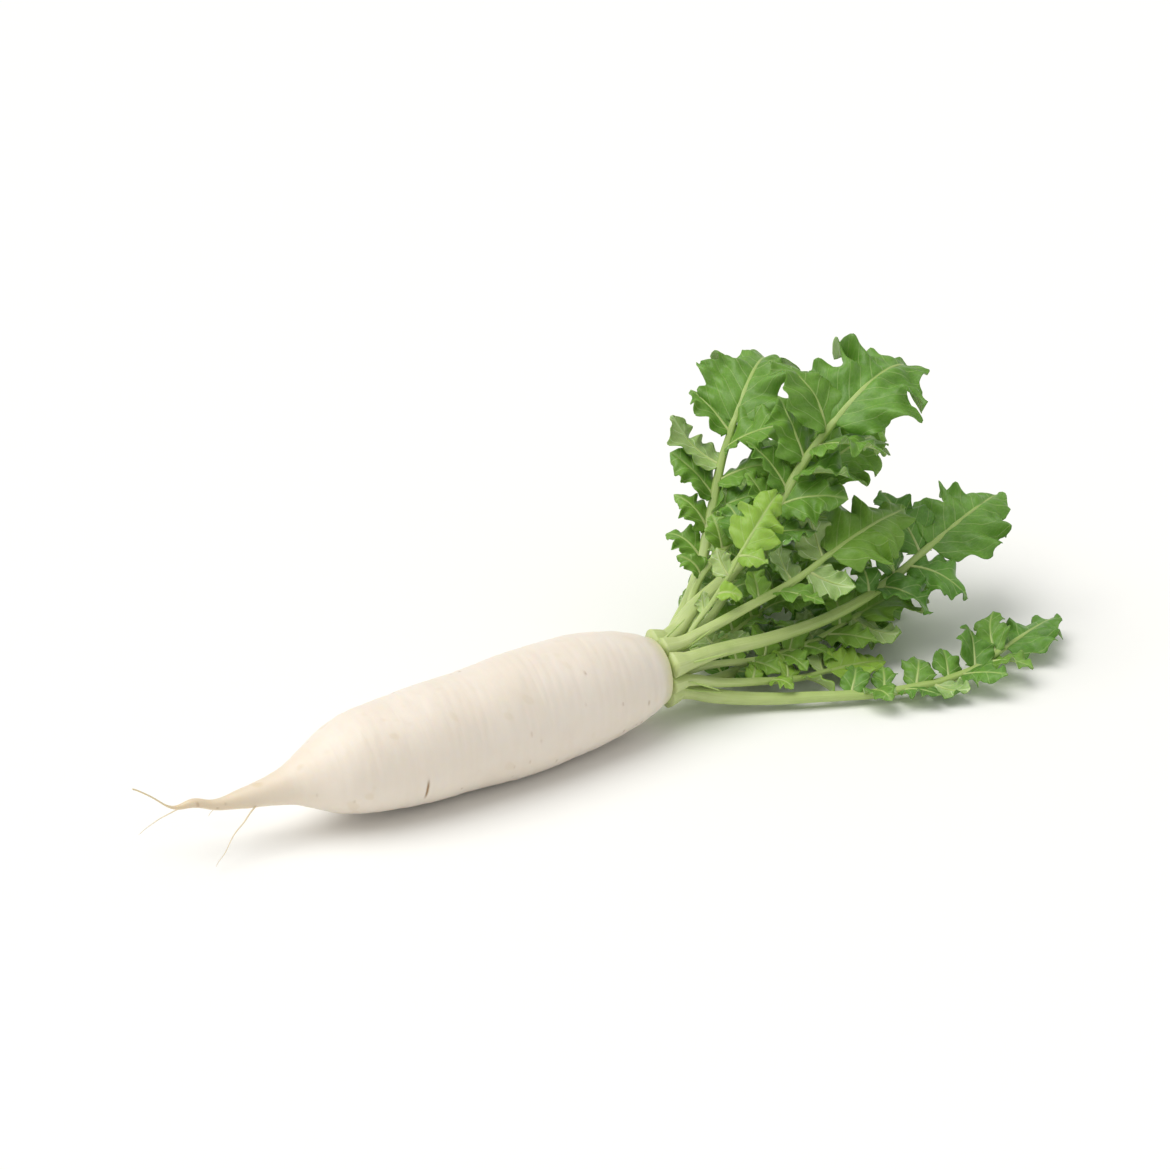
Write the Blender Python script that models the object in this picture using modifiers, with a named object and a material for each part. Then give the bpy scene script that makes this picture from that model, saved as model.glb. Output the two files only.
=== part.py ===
"""A daikon radish lying on its side with its leaves on. Metres, +Z up, +X from the tail to the leaves.

Places are written in millimetres from the point on the floor under the crown, where the leaves start.
At the end the whole plant moves so that the origin is under the middle of its bounding box.
"""

import math

import bmesh
import bpy
from mathutils import Matrix, Vector
from mathutils.bvhtree import BVHTree

MM = 0.001
PLANT = "daikon_radish"

# Driving dimensions, in millimetres
GAP = 0.35                # between pieces that meet
CROWN_HEIGHT = 31.0       # of the crown's centre above the floor
CROWN_RADIUS = 18.5
CROWN_LENGTH = 7.0
COLLAR_LENGTH = 6.0       # a stalk leaves the crown straight for this far
BLADE_THICKNESS = 0.9
BLADE_START = 0.75        # from a stalk's end to its blade
LOBE_START = 2.25         # from a midrib's surface to a side lobe's base
LAST_LOBE = 0.95          # of the stalk's length
LOBE_WIDTH = 0.72         # of its length
LOBE_CURL = 35            # degrees
LOBE_FOLD = 14            # degrees
LOBE_WAY = (0.84, 0.40, 0.28)   # across the midrib, along it, and up
LOBE_SHRINK = 0.88        # each time a lobe finds no room
SMALLEST_LOBE = 14.0      # a lobe that would be shorter is left out
CLEARANCE = 0.4           # round a lobe, and under it
CROWN_TAPER = 0.92
WELD = 0.01

# How finely each shape is divided
ROOT_SIDES = 24
STALK_SIDES = 8
ROOTLET_SIDES = 6
STEPS_BETWEEN_KNOTS = 3
CENTRELINE_STEPS = 12
BLADE_GRID = (10, 4)
LOBE_GRID = (5, 2)
BLADE_WAVES = 3
LOBE_WAVES = 1

# The block that presses the belly flat: its size and where its middle is along the root
FLOOR_BLOCK = 400
FLOOR_BLOCK_X = -150

# The taproot, from the tip of its tail to the crown: x, y, z and radius
ROOT_STATIONS = [
    (-305, 4, 46, 0.5),
    (-294, 4, 37, 0.6),
    (-285, 3, 29, 0.9),
    (-274, 1, 30, 2.6),
    (-266, -1, 27, 2.7),
    (-251, -3, 27, 5.0),
    (-236, -5, 28, 7.6),
    (-222, -6, 29, 12.6),
    (-206, -7, 30, 20.8),
    (-189, -8, 31, 26.2),
    (-162, -9, 31.4, 29.4),
    (-130, -8, 31.7, 31.3),
    (-97, -6, 31.8, 32.6),
    (-66, -3, 31.8, 32.2),
    (-40, -1, 31.6, 30.4),
    (-20, 0, 31.2, 26.8),
    (-8, 0, 31, 22.6),
    (-1.2, 0, 31, 19.2),
]

# Fine side roots: the points each one passes through
ROOTLETS = {
    "rootlet_1": [(-262, 3.5, 28), (-272, 9, 24), (-288, 14, 20), (-300, 15, 12)],
    "rootlet_2": [(-243, -11.2, 25), (-250, -16, 19), (-262, -20, 10), (-274, -18, 4)],
    "rootlet_3": [(-232, 4.5, 28), (-240, 12, 21), (-252, 17, 12), (-258, 24, 5)],
}
ROOTLET_RADIUS = 0.45
ROOTLET_TIP = 0.6         # of that radius

# Each leaf: where round the crown it starts, in degrees from +Y towards +Z, and how far from the axis,
# the points that its stalk passes through, the stalk's radius at its two ends, which way the leaf's
# upper face looks, the end blade's length, width, curl and fold, and for its side lobes the share of
# the stalk where they start, how many there are, and how long the first and the last would grow.
OUTER = 14.5
INNER = 6.0
LEAVES = {
    "leaf_1": {
        "start": (240, OUTER),
        "route": [(30, -14, 13), (54, -22, 8), (84, -36, 7), (130, -53, 6), (178, -58, 8), (206, -52, 12)],
        "radius": (5.1, 1.6),
        "facing": (-0.3, -0.2, 1.0),
        "blade": (54, 46, 20, 26),
        "lobes": (0.62, 3, 28, 36),
    },
    "leaf_2": {
        "start": (150, OUTER),
        "route": [(32, -12, 39), (74, -8, 35), (128, -1, 35), (170, 5, 44), (196, 8, 55)],
        "radius": (5.1, 1.9),
        "facing": (-1.0, -0.6, 0.6),
        "blade": (76, 64, 40, 22),
        "lobes": (0.60, 3, 34, 46),
    },
    "leaf_3": {
        "start": (105, OUTER),
        "route": [(30, -3, 48), (60, -1, 54), (96, 1, 62), (118, 2, 71)],
        "radius": (4.0, 1.5),
        "facing": (-0.5, -0.5, 1.0),
        "blade": (70, 56, 40, 18),
        "lobes": (0.66, 2, 34, 42),
    },
    "leaf_4": {
        "start": (60, OUTER),
        "route": [(34, 14, 54), (66, 21, 67), (98, 28, 91), (120, 30, 118), (136, 27, 138)],
        "radius": (5.2, 2.0),
        "facing": (-0.8, -0.5, 0.6),
        "blade": (84, 76, 95, 14),
        "lobes": (0.60, 3, 40, 52),
    },
    "leaf_5": {
        "start": (15, OUTER),
        "route": [(34, 27, 41), (60, 46, 58), (79, 62, 84), (92, 72, 108), (104, 78, 128)],
        "radius": (5.0, 1.8),
        "facing": (-0.7, -0.6, 0.6),
        "blade": (78, 70, 90, 14),
        "lobes": (0.60, 3, 40, 50),
    },
    "leaf_6": {
        "start": (285, OUTER),
        "route": [(36, 4, 12), (76, 14, 8.4), (116, 24, 8.0), (140, 28, 9.0)],
        "radius": (4.2, 1.5),
        "facing": (-0.1, -0.2, 1.0),
        "blade": (64, 54, 10, 16),
        "lobes": (0.64, 2, 32, 40),
    },
    "leaf_7": {
        "start": (330, OUTER),
        "route": [(34, 24, 16), (72, 52, 9), (118, 84, 8.0), (156, 104, 9)],
        "radius": (4.8, 1.6),
        "facing": (-0.2, -0.1, 1.0),
        "blade": (76, 64, 14, 16),
        "lobes": (0.64, 2, 36, 46),
    },
    "leaf_8": {
        "start": (0, INNER),
        "route": [(36, 14, 37), (80, 42, 44), (124, 66, 62), (156, 76, 88)],
        "radius": (2.7, 1.6),
        "facing": (-0.6, -0.4, 1.0),
        "blade": (82, 72, 50, 16),
        "lobes": (0.60, 3, 38, 48),
    },
    "leaf_9": {
        "start": (195, OUTER),
        "route": [(34, -14, 20), (60, -17, 15), (86, -19, 11), (104, -20, 11)],
        "radius": (3.4, 1.3),
        "facing": (-0.4, -0.3, 1.0),
        "blade": (42, 34, 20, 22),
        "lobes": (0.66, 2, 28, 32),
    },
    "leaf_10": {
        "start": (288, INNER),
        "route": [(34, 10, 25), (72, 26, 25), (112, 40, 30), (140, 48, 38)],
        "radius": (2.5, 1.3),
        "facing": (-0.4, -0.3, 1.0),
        "blade": (64, 54, 30, 18),
        "lobes": (0.64, 2, 32, 40),
    },
    "leaf_11": {
        "start": (72, INNER),
        "route": [(28, 13, 41), (46, 28, 60), (80, 38, 78), (108, 38, 92), (128, 36, 104)],
        "radius": (2.6, 1.5),
        "facing": (-0.6, -0.6, 0.7),
        "blade": (62, 54, 60, 16),
        "lobes": (0.66, 2, 30, 40),
    },
    "leaf_12": {
        "start": (144, INNER),
        "route": [(26, 3.5, 46), (44, 6, 62), (62, 8, 84)],
        "radius": (2.1, 1.0),
        "facing": (-0.5, -0.6, 1.0),
        "blade": (42, 34, 40, 22),
        "lobes": (0.70, 1, 24, 26),
    },
    "leaf_13": {
        "start": (216, INNER),
        "route": [(34, -3, 26), (72, -1, 19), (112, 4, 18), (146, 8, 24)],
        "radius": (2.5, 1.3),
        "facing": (-0.3, -0.4, 1.0),
        "blade": (62, 52, 30, 18),
        "lobes": (0.64, 1, 34, 38),
    },
}

COLOURS = {
    "root_skin": ((0.80, 0.74, 0.62, 1), 0.38),
    "crown_green": ((0.48, 0.56, 0.17, 1), 0.5),
    "stalk_green": ((0.42, 0.58, 0.16, 1), 0.42),
    "leaf_green": ((0.10, 0.27, 0.05, 1), 0.5),
}


def clear_scene():
    for old in list(bpy.data.objects):
        bpy.data.objects.remove(old)


def new_collection(name):
    collection = bpy.data.collections.new(name)
    bpy.context.scene.collection.children.link(collection)
    return collection


def make_materials():
    materials = {}
    for name, (colour, roughness) in COLOURS.items():
        material = bpy.data.materials.new(name)
        material.use_nodes = True
        shader = material.node_tree.nodes["Principled BSDF"]
        shader.inputs["Base Color"].default_value = colour
        shader.inputs["Roughness"].default_value = roughness
        shader.inputs["Metallic"].default_value = 0.0
        materials[name] = material
    return materials


def add_object(name, data, material, parent, collection):
    data.materials.append(material)
    made = bpy.data.objects.new(name, data)
    collection.objects.link(made)
    made.parent = parent
    return made


def tube_curve(name, points, radii, sides):
    """A capped tube along a smooth curve through points, in millimetres, with a radius at each."""
    curve = bpy.data.curves.new(name, "CURVE")
    curve.dimensions = "3D"
    curve.bevel_depth = MM
    curve.bevel_resolution = (sides - 4) // 2
    curve.use_fill_caps = True
    curve.resolution_u = STEPS_BETWEEN_KNOTS
    spline = curve.splines.new("BEZIER")
    spline.radius_interpolation = "CARDINAL"
    spline.bezier_points.add(len(points) - 1)
    for knot, point, radius in zip(spline.bezier_points, points, radii):
        knot.co = Vector(point) * MM
        knot.radius = radius
        knot.handle_left_type = knot.handle_right_type = "AUTO"
    return curve


def as_mesh(curve_object):
    """Turns a curve object into a mesh object of the same name, with its end caps joined to its sides."""
    graph = bpy.context.evaluated_depsgraph_get()
    mesh = bpy.data.meshes.new_from_object(curve_object.evaluated_get(graph))
    bm = bmesh.new()
    bm.from_mesh(mesh)
    bmesh.ops.remove_doubles(bm, verts=bm.verts, dist=WELD * MM)
    bm.to_mesh(mesh)
    bm.free()
    name = curve_object.name
    parent = curve_object.parent
    collection = curve_object.users_collection[0]
    place = curve_object.matrix_world.copy()
    bpy.data.objects.remove(curve_object)
    made = bpy.data.objects.new(name, mesh)
    collection.objects.link(made)
    made.parent = parent
    made.matrix_world = place
    return made


def make_root(material, parent, collection, cutters):
    points = [station[:3] for station in ROOT_STATIONS]
    radii = [station[3] for station in ROOT_STATIONS]
    curve = tube_curve("taproot", points, radii, ROOT_SIDES)
    root = as_mesh(add_object("taproot", curve, material, parent, collection))
    root.data.shade_smooth()

    # The belly is pressed flat where it bears on the floor.
    middle = (FLOOR_BLOCK_X * MM, 0, -FLOOR_BLOCK / 2 * MM)
    bpy.ops.mesh.primitive_cube_add(size=FLOOR_BLOCK * MM, location=middle)
    floor_cutter = bpy.context.object
    floor_cutter.name = "floor_cutter"
    floor_cutter.hide_render = True
    floor_cutter.display_type = "WIRE"
    floor_cutter.parent = parent
    for held in list(floor_cutter.users_collection):
        held.objects.unlink(floor_cutter)
    cutters.objects.link(floor_cutter)
    cut = root.modifiers.new("bearing_flat", "BOOLEAN")
    cut.operation = "DIFFERENCE"
    cut.object = floor_cutter


def make_crown(material, parent, collection):
    bm = bmesh.new()
    bmesh.ops.create_cone(
        bm,
        cap_ends=True,
        segments=ROOT_SIDES,
        radius1=CROWN_RADIUS * MM,
        radius2=CROWN_TAPER * CROWN_RADIUS * MM,
        depth=CROWN_LENGTH * MM,
    )
    mesh = bpy.data.meshes.new("crown")
    bm.to_mesh(mesh)
    bm.free()
    crown = add_object("crown", mesh, material, parent, collection)
    crown.rotation_euler = (0, math.pi / 2, 0)
    crown.location = Vector((ROOT_STATIONS[-1][0] + GAP + CROWN_LENGTH / 2, 0, CROWN_HEIGHT)) * MM


def start_of_stalk(angle, distance, past_crown):
    """A point on the crown's face, or past it along the axis, in millimetres."""
    turn = math.radians(angle)
    face = ROOT_STATIONS[-1][0] + GAP + CROWN_LENGTH + GAP
    return (face + past_crown, distance * math.cos(turn), CROWN_HEIGHT + distance * math.sin(turn))


def stalk_radius(leaf, share):
    thick, thin = leaf["radius"]
    return thick + (thin - thick) * share**0.8


def make_stalk(name, leaf, material, parent, collection):
    """The stalk and midrib as one tube. Returns it and its centreline as points in metres."""
    angle, distance = leaf["start"]
    points = [start_of_stalk(angle, distance, past) for past in (0, COLLAR_LENGTH)] + leaf["route"]
    radii = [stalk_radius(leaf, knot / (len(points) - 1)) for knot in range(len(points))]
    stalk = add_object(name, tube_curve(name, points, radii, STALK_SIDES), material, parent, collection)
    return stalk, centreline(stalk.data.splines[0])


def centreline(spline):
    """Points, in metres, along a Bezier spline, worked out with the handles that Blender gave it."""
    bpy.context.view_layer.update()
    knots = spline.bezier_points
    points = []
    for first, second in zip(knots[:-1], knots[1:]):
        for step in range(CENTRELINE_STEPS):
            t = step / CENTRELINE_STEPS
            points.append(
                first.co * (1 - t) ** 3
                + first.handle_right * 3 * t * (1 - t) ** 2
                + second.handle_left * 3 * t**2 * (1 - t)
                + second.co * t**3
            )
    points.append(knots[-1].co.copy())
    return points


def at_share(points, share):
    """The place and direction at a share of a centreline's length."""
    lengths = [(b - a).length for a, b in zip(points[:-1], points[1:])]
    wanted = share * sum(lengths)
    for a, b, length in zip(points[:-1], points[1:], lengths):
        if wanted <= length:
            return a.lerp(b, wanted / length), (b - a).normalized()
        wanted -= length
    return points[-1], (points[-1] - points[-2]).normalized()


def basis(origin, along, facing):
    """A matrix whose X runs along the blade and whose Z is the side that the blade faces."""
    x = along.normalized()
    y = facing.cross(x).normalized()
    z = x.cross(y)
    turned = Matrix((x, y, z)).transposed().to_4x4()
    return Matrix.Translation(origin) @ turned


def half_width(share, waves):
    """How wide a blade is at a share of its length, from 0 to 1, with a wavy edge."""
    body = math.sin(math.pi * (0.02 + 0.95 * share) ** 0.85) ** 0.75
    dents = 1 - 0.26 * (0.5 + 0.5 * math.cos(2 * math.pi * waves * share)) * math.sin(math.pi * share)
    return max(0.07, body * dents)


def add_sheet(bm, place, shape, grid, waves):
    """Adds a leaf sheet, which curls down along its length and folds up about its midrib."""
    length, width, curl, fold = shape
    sheet = bmesh.ops.create_grid(bm, x_segments=grid[0], y_segments=grid[1], size=0.5)
    bend = math.radians(curl)
    lift = math.radians(fold)
    for vert in sheet["verts"]:
        share, side = vert.co.x + 0.5, 2 * vert.co.y
        out = side * half_width(share, waves) * width / 2
        run = length * math.sin(bend * share) / bend
        drop = length * (1 - math.cos(bend * share)) / bend
        vert.co = place @ (Vector((run, out * math.cos(lift), abs(out) * math.sin(lift) - drop)) * MM)


def sheet_object(name, bm, material, parent, collection):
    """Gives the open sheet in bm its thickness, which closes it."""
    mesh = bpy.data.meshes.new(name)
    bm.to_mesh(mesh)
    bm.free()
    made = add_object(name, mesh, material, parent, collection)
    sheet = made.modifiers.new("thickness", "SOLIDIFY")
    sheet.thickness = BLADE_THICKNESS * MM
    sheet.offset = 0


def solid_tree(bm, thickness):
    """A search tree of the sheet in bm with a thickness in millimetres."""
    solid = bm.copy()
    solid.normal_update()
    for vert in solid.verts:
        vert.co -= vert.normal * thickness / 2 * MM
    bmesh.ops.solidify(solid, geom=solid.faces[:], thickness=-thickness * MM)
    tree = BVHTree.FromBMesh(solid)
    solid.free()
    return tree


def stalk_tree(stalk):
    """A search tree of a stalk's surface."""
    graph = bpy.context.evaluated_depsgraph_get()
    mesh = bpy.data.meshes.new_from_object(stalk.evaluated_get(graph))
    bm = bmesh.new()
    bm.from_mesh(mesh)
    tree = BVHTree.FromBMesh(bm)
    bm.free()
    bpy.data.meshes.remove(mesh)
    return tree


def has_room(bm, taken):
    """Whether the sheet in bm is clear of the floor and of everything in taken."""
    if min(vert.co.z for vert in bm.verts) < (BLADE_THICKNESS / 2 + CLEARANCE) * MM:
        return False
    tree = solid_tree(bm, BLADE_THICKNESS + 2 * CLEARANCE)
    return not any(tree.overlap(other) for other in taken)


def make_blade(name, leaf, line, material, parent, collection):
    """The leaf's end blade. Returns its search tree."""
    end, along = at_share(line, 1)
    place = basis(end + along * BLADE_START * MM, along, Vector(leaf["facing"]))
    bm = bmesh.new()
    add_sheet(bm, place, leaf["blade"], BLADE_GRID, BLADE_WAVES)
    tree = solid_tree(bm, BLADE_THICKNESS)
    sheet_object(name, bm, material, parent, collection)
    return tree


def make_lobes(name, leaf, line, taken, material, parent, collection):
    """The side lobes, left and right in turn along the midrib, each as long as it has room to be."""
    first, count, short, long = leaf["lobes"]
    facing = Vector(leaf["facing"]).normalized()
    for number in range(count):
        step = (number + 0.5) / count
        share = first + (LAST_LOBE - first) * step
        size = short + (long - short) * step
        base, along = at_share(line, share)
        across = facing.cross(along).normalized() * (-1) ** number
        outward = (across * LOBE_WAY[0] + along * LOBE_WAY[1] + facing * LOBE_WAY[2]).normalized()
        place = basis(base + outward * (stalk_radius(leaf, share) + LOBE_START) * MM, outward, facing)
        while size > SMALLEST_LOBE:
            shape = (size, LOBE_WIDTH * size, LOBE_CURL, LOBE_FOLD)
            lobe = bmesh.new()
            add_sheet(lobe, place, shape, LOBE_GRID, LOBE_WAVES)
            if has_room(lobe, taken):
                taken.append(solid_tree(lobe, BLADE_THICKNESS))
                sheet_object(f"{name}_{number + 1}", lobe, material, parent, collection)
                break
            lobe.free()
            size *= LOBE_SHRINK


def make_leaves(materials, parent, collection):
    """All the stalks and end blades first, then the side lobes in the room that is left."""
    green = materials["leaf_green"]
    lines = {}
    taken = []
    for name, leaf in LEAVES.items():
        stalk, lines[name] = make_stalk(name + "_stalk", leaf, materials["stalk_green"], parent, collection)
        taken.append(stalk_tree(stalk))
        taken.append(make_blade(name + "_blade", leaf, lines[name], green, parent, collection))
    for name, leaf in LEAVES.items():
        make_lobes(name + "_lobe", leaf, lines[name], taken, green, parent, collection)


def make_rootlets(material, parent, collection):
    for name, points in ROOTLETS.items():
        radii = [ROOTLET_RADIUS] * (len(points) - 1) + [ROOTLET_TIP * ROOTLET_RADIUS]
        add_object(name, tube_curve(name, points, radii, ROOTLET_SIDES), material, parent, collection)


def centre_on_floor(parent, collection):
    """Moves the plant so that the origin is on the floor under the middle of its bounding box."""
    bpy.context.view_layer.update()
    graph = bpy.context.evaluated_depsgraph_get()
    corners = []
    for piece in collection.objects:
        if piece.type != "EMPTY":
            shown = piece.evaluated_get(graph)
            mesh = shown.to_mesh()
            corners += [shown.matrix_world @ vert.co for vert in mesh.vertices]
            shown.to_mesh_clear()
    low = Vector(min(corner[axis] for corner in corners) for axis in range(3))
    high = Vector(max(corner[axis] for corner in corners) for axis in range(3))
    middle = (low + high) / 2
    parent.location = (-middle.x, -middle.y, -low.z)


def main():
    clear_scene()
    plant = new_collection(PLANT)
    cutters = new_collection("cutters")
    materials = make_materials()
    parent = bpy.data.objects.new("plant_origin", None)
    plant.objects.link(parent)
    make_root(materials["root_skin"], parent, plant, cutters)
    make_crown(materials["crown_green"], parent, plant)
    make_rootlets(materials["root_skin"], parent, plant)
    make_leaves(materials, parent, plant)
    centre_on_floor(parent, plant)


main()
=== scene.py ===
import math

import bmesh
import bpy
import numpy as np
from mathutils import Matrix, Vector


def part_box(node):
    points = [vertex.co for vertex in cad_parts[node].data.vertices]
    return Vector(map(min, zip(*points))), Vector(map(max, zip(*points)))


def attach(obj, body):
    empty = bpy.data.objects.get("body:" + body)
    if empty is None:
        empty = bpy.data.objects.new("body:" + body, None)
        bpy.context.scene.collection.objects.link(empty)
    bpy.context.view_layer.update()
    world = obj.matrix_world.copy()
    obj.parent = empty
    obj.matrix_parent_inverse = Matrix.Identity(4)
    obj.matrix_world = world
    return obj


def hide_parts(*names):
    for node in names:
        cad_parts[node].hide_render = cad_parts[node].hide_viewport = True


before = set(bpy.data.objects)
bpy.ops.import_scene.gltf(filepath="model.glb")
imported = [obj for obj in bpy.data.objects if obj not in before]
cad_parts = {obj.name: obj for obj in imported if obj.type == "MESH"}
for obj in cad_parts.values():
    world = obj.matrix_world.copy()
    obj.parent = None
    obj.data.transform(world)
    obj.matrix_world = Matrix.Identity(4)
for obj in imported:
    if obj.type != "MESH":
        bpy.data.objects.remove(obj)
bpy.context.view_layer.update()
mm = 0.001
turn = 2 * math.pi
print("frame loaded:", len(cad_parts), "nodes")


def linear(hexColour):
    # An sRGB hex value as the linear colour that shaders take
    parts = [int(hexColour[i:i + 2], 16) / 255 for i in (1, 3, 5)]
    return [p / 12.92 if p < 0.04045 else ((p + 0.055) / 1.055) ** 2.4 for p in parts] + [1.0]


def addNode(tree, kind, settings=None, links=None):
    # Adds a node, sets its fields or input values, and links other nodes' outputs to its inputs
    made = tree.nodes.new(kind)
    for key, value in (settings or {}).items():
        if isinstance(key, str) and hasattr(made, key):
            setattr(made, key, value)
        else:
            made.inputs[key].default_value = value
    for key, source in (links or {}).items():
        tree.links.new(source, made.inputs[key])
    return made


def newSkin(name):
    # An empty material, its node tree and its shader
    material = bpy.data.materials.new(name)
    material.use_nodes = True
    return material, material.node_tree, material.node_tree.nodes["Principled BSDF"]


def setShader(shader, values):
    for key, value in values.items():
        shader.inputs[key].default_value = value


def noiseAt(tree, spot, scale, detail, roughness=0.5):
    settings = {"Scale": scale, "Detail": detail, "Roughness": roughness}
    return addNode(tree, "ShaderNodeTexNoise", settings, {"Vector": spot}).outputs["Fac"]


def stretch(tree, value, fromMin, fromMax, toMin, toMax, smooth=False):
    # A value taken from one range to another and held inside it
    settings = {"interpolation_type": "SMOOTHSTEP" if smooth else "LINEAR",
                "From Min": fromMin, "From Max": fromMax, "To Min": toMin, "To Max": toMax}
    return addNode(tree, "ShaderNodeMapRange", settings, {"Value": value}).outputs[0]


def mixColours(tree, share, under, over):
    # Each colour is a hex value or another node's output
    mix = addNode(tree, "ShaderNodeMix", {"data_type": "RGBA"}, {0: share})
    for place, colour in ((6, under), (7, over)):
        if isinstance(colour, str):
            mix.inputs[place].default_value = linear(colour)
        else:
            tree.links.new(colour, mix.inputs[place])
    return mix.outputs[2]


def calculate(tree, operation, first, second=None):
    # Each value is a number or another node's output
    result = addNode(tree, "ShaderNodeMath", {"operation": operation})
    for place, value in enumerate((first, second)):
        if isinstance(value, (int, float)):
            result.inputs[place].default_value = value
        elif value is not None:
            tree.links.new(value, result.inputs[place])
    return result.outputs[0]


def softNoise(points, size, seed, waves=20):
    # Smooth random field, mostly between -1 and 1, with bumps about that big
    rng = np.random.default_rng(seed)
    ways = rng.normal(size=(waves, 3))
    ways /= np.linalg.norm(ways, axis=1)[:, None]
    sizes = size * rng.uniform(0.7, 1.6, waves)
    starts = rng.uniform(0, turn, waves)
    total = np.zeros(len(points))
    for way, length, start in zip(ways, sizes, starts):
        total += np.cos(points @ way * (turn / length) + start)
    return total / math.sqrt(waves)


def gridSheet(columns, rows, place):
    # A grid whose points go where place(u, v) says, u and v running from 0 to 1
    flat = bmesh.new()
    bmesh.ops.create_grid(flat, x_segments=columns, y_segments=rows, size=0.5)
    mesh = bpy.data.meshes.new("sheet")
    flat.to_mesh(mesh)
    flat.free()
    spots = np.empty(len(mesh.vertices) * 3, dtype=np.float32)
    mesh.vertices.foreach_get("co", spots)
    u, v = spots.reshape(-1, 3)[:, 0] + 0.5, spots.reshape(-1, 3)[:, 1] + 0.5
    mesh.vertices.foreach_set("co", place(u.astype(float), v.astype(float)).astype(np.float32).ravel())
    mesh.update()
    return mesh


def joinSheets(name, sheets, attributes, closed):
    # One mesh from many sheets; attributes hold one row for each point, in the sheets' order
    whole = bmesh.new()
    for sheet in sheets:
        whole.from_mesh(sheet)
    mesh = bpy.data.meshes.new(name)
    whole.to_mesh(mesh)
    for key, rows in attributes.items():
        values = np.concatenate(rows).astype(np.float32)
        kind, field = ("FLOAT_VECTOR", "vector") if values.ndim == 2 else ("FLOAT", "value")
        mesh.attributes.new(key, kind, "POINT").data.foreach_set(field, values.ravel())
    if closed:        # seams and poles meet, and faces point out
        whole.clear()
        whole.from_mesh(mesh)
        bmesh.ops.remove_doubles(whole, verts=whole.verts, dist=0.004 * mm)
        bmesh.ops.recalc_face_normals(whole, faces=whole.faces)
        whole.to_mesh(mesh)
    whole.free()
    for sheet in sheets:
        bpy.data.meshes.remove(sheet)
    mesh.polygons.foreach_set("use_smooth", [True] * len(mesh.polygons))
    return mesh


def addPiece(name, mesh, materials, nodes):
    piece = bpy.data.objects.new(name, mesh)
    bpy.context.scene.collection.objects.link(piece)
    for material in materials:
        mesh.materials.append(material)
    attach(piece, "root")
    if nodes:
        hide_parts(*nodes)
    return piece


def unit(vector):
    return vector / np.linalg.norm(vector)


def resample(path, count):
    # Evenly spaced points on a smooth curve through the path's own points
    path = np.asarray(path, float)
    ends = np.vstack([2 * path[0] - path[1], path, 2 * path[-1] - path[-2]])
    dense = []
    for a, b, c, d in zip(ends, ends[1:], ends[2:], ends[3:]):
        for t in np.linspace(0, 1, 12, endpoint=False):
            dense.append(0.5 * (2 * b + (c - a) * t + (2 * a - 5 * b + 4 * c - d) * t**2
                                + (3 * b - a - 3 * c + d) * t**3))
    dense = np.vstack([dense, path[-1:]])
    run = np.concatenate([[0], np.cumsum(np.linalg.norm(np.diff(dense, axis=0), axis=1))])
    wanted = np.linspace(0, run[-1], count)
    return np.column_stack([np.interp(wanted, run, dense[:, i]) for i in range(3)]), run[-1]


def sweptTube(path, radii, sides, up, section=None):
    # A closed tube along a path; section(angle, run) scales its radius, with angle 0 towards up
    tangents = np.gradient(path, axis=0)
    tangents /= np.linalg.norm(tangents, axis=1)[:, None]
    normals = [unit(up - tangents[-1] * (up @ tangents[-1]))]
    for tangent in tangents[-2::-1]:
        normals.append(unit(normals[-1] - tangent * (normals[-1] @ tangent)))
    normals = np.array(normals[::-1])
    across = np.cross(tangents, normals)
    rings = len(path) - 1
    radii = np.array(radii, float)
    radii[[0, -1]] = 0
    run = np.concatenate([[0], np.cumsum(np.linalg.norm(np.diff(path, axis=0), axis=1))])
    notes = []        # length along, distance round and share along, for each point

    def place(u, v):
        ring = np.rint(u * rings).astype(int)
        angle = v * turn
        notes.append(np.column_stack([run[ring], (v - 0.5) * turn * radii.max(), u]))
        size = radii[ring] * (section(angle, run[ring], u) if section else 1)
        return path[ring] + size[:, None] * (np.cos(angle)[:, None] * normals[ring]
                                             + np.sin(angle)[:, None] * across[ring])

    return gridSheet(rings, sides, place), notes[0]


studio = {
    "lens": 80,               # mm
    "distance": 1.6,          # m
    "turn": 32,               # degrees from +Y towards +X
    "drop": 25,               # degrees below the horizon
    "aimFromCrown": (0.0584, 0.170, -0.031),
    "floor": "#f7f7f5",
    "sky": 0.5,
    "sun": 2.2,
    "sunWidth": 55,           # degrees, which makes the shadows soft
    "sunFrom": (-0.45, 0.18, 1.0),
}


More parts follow.
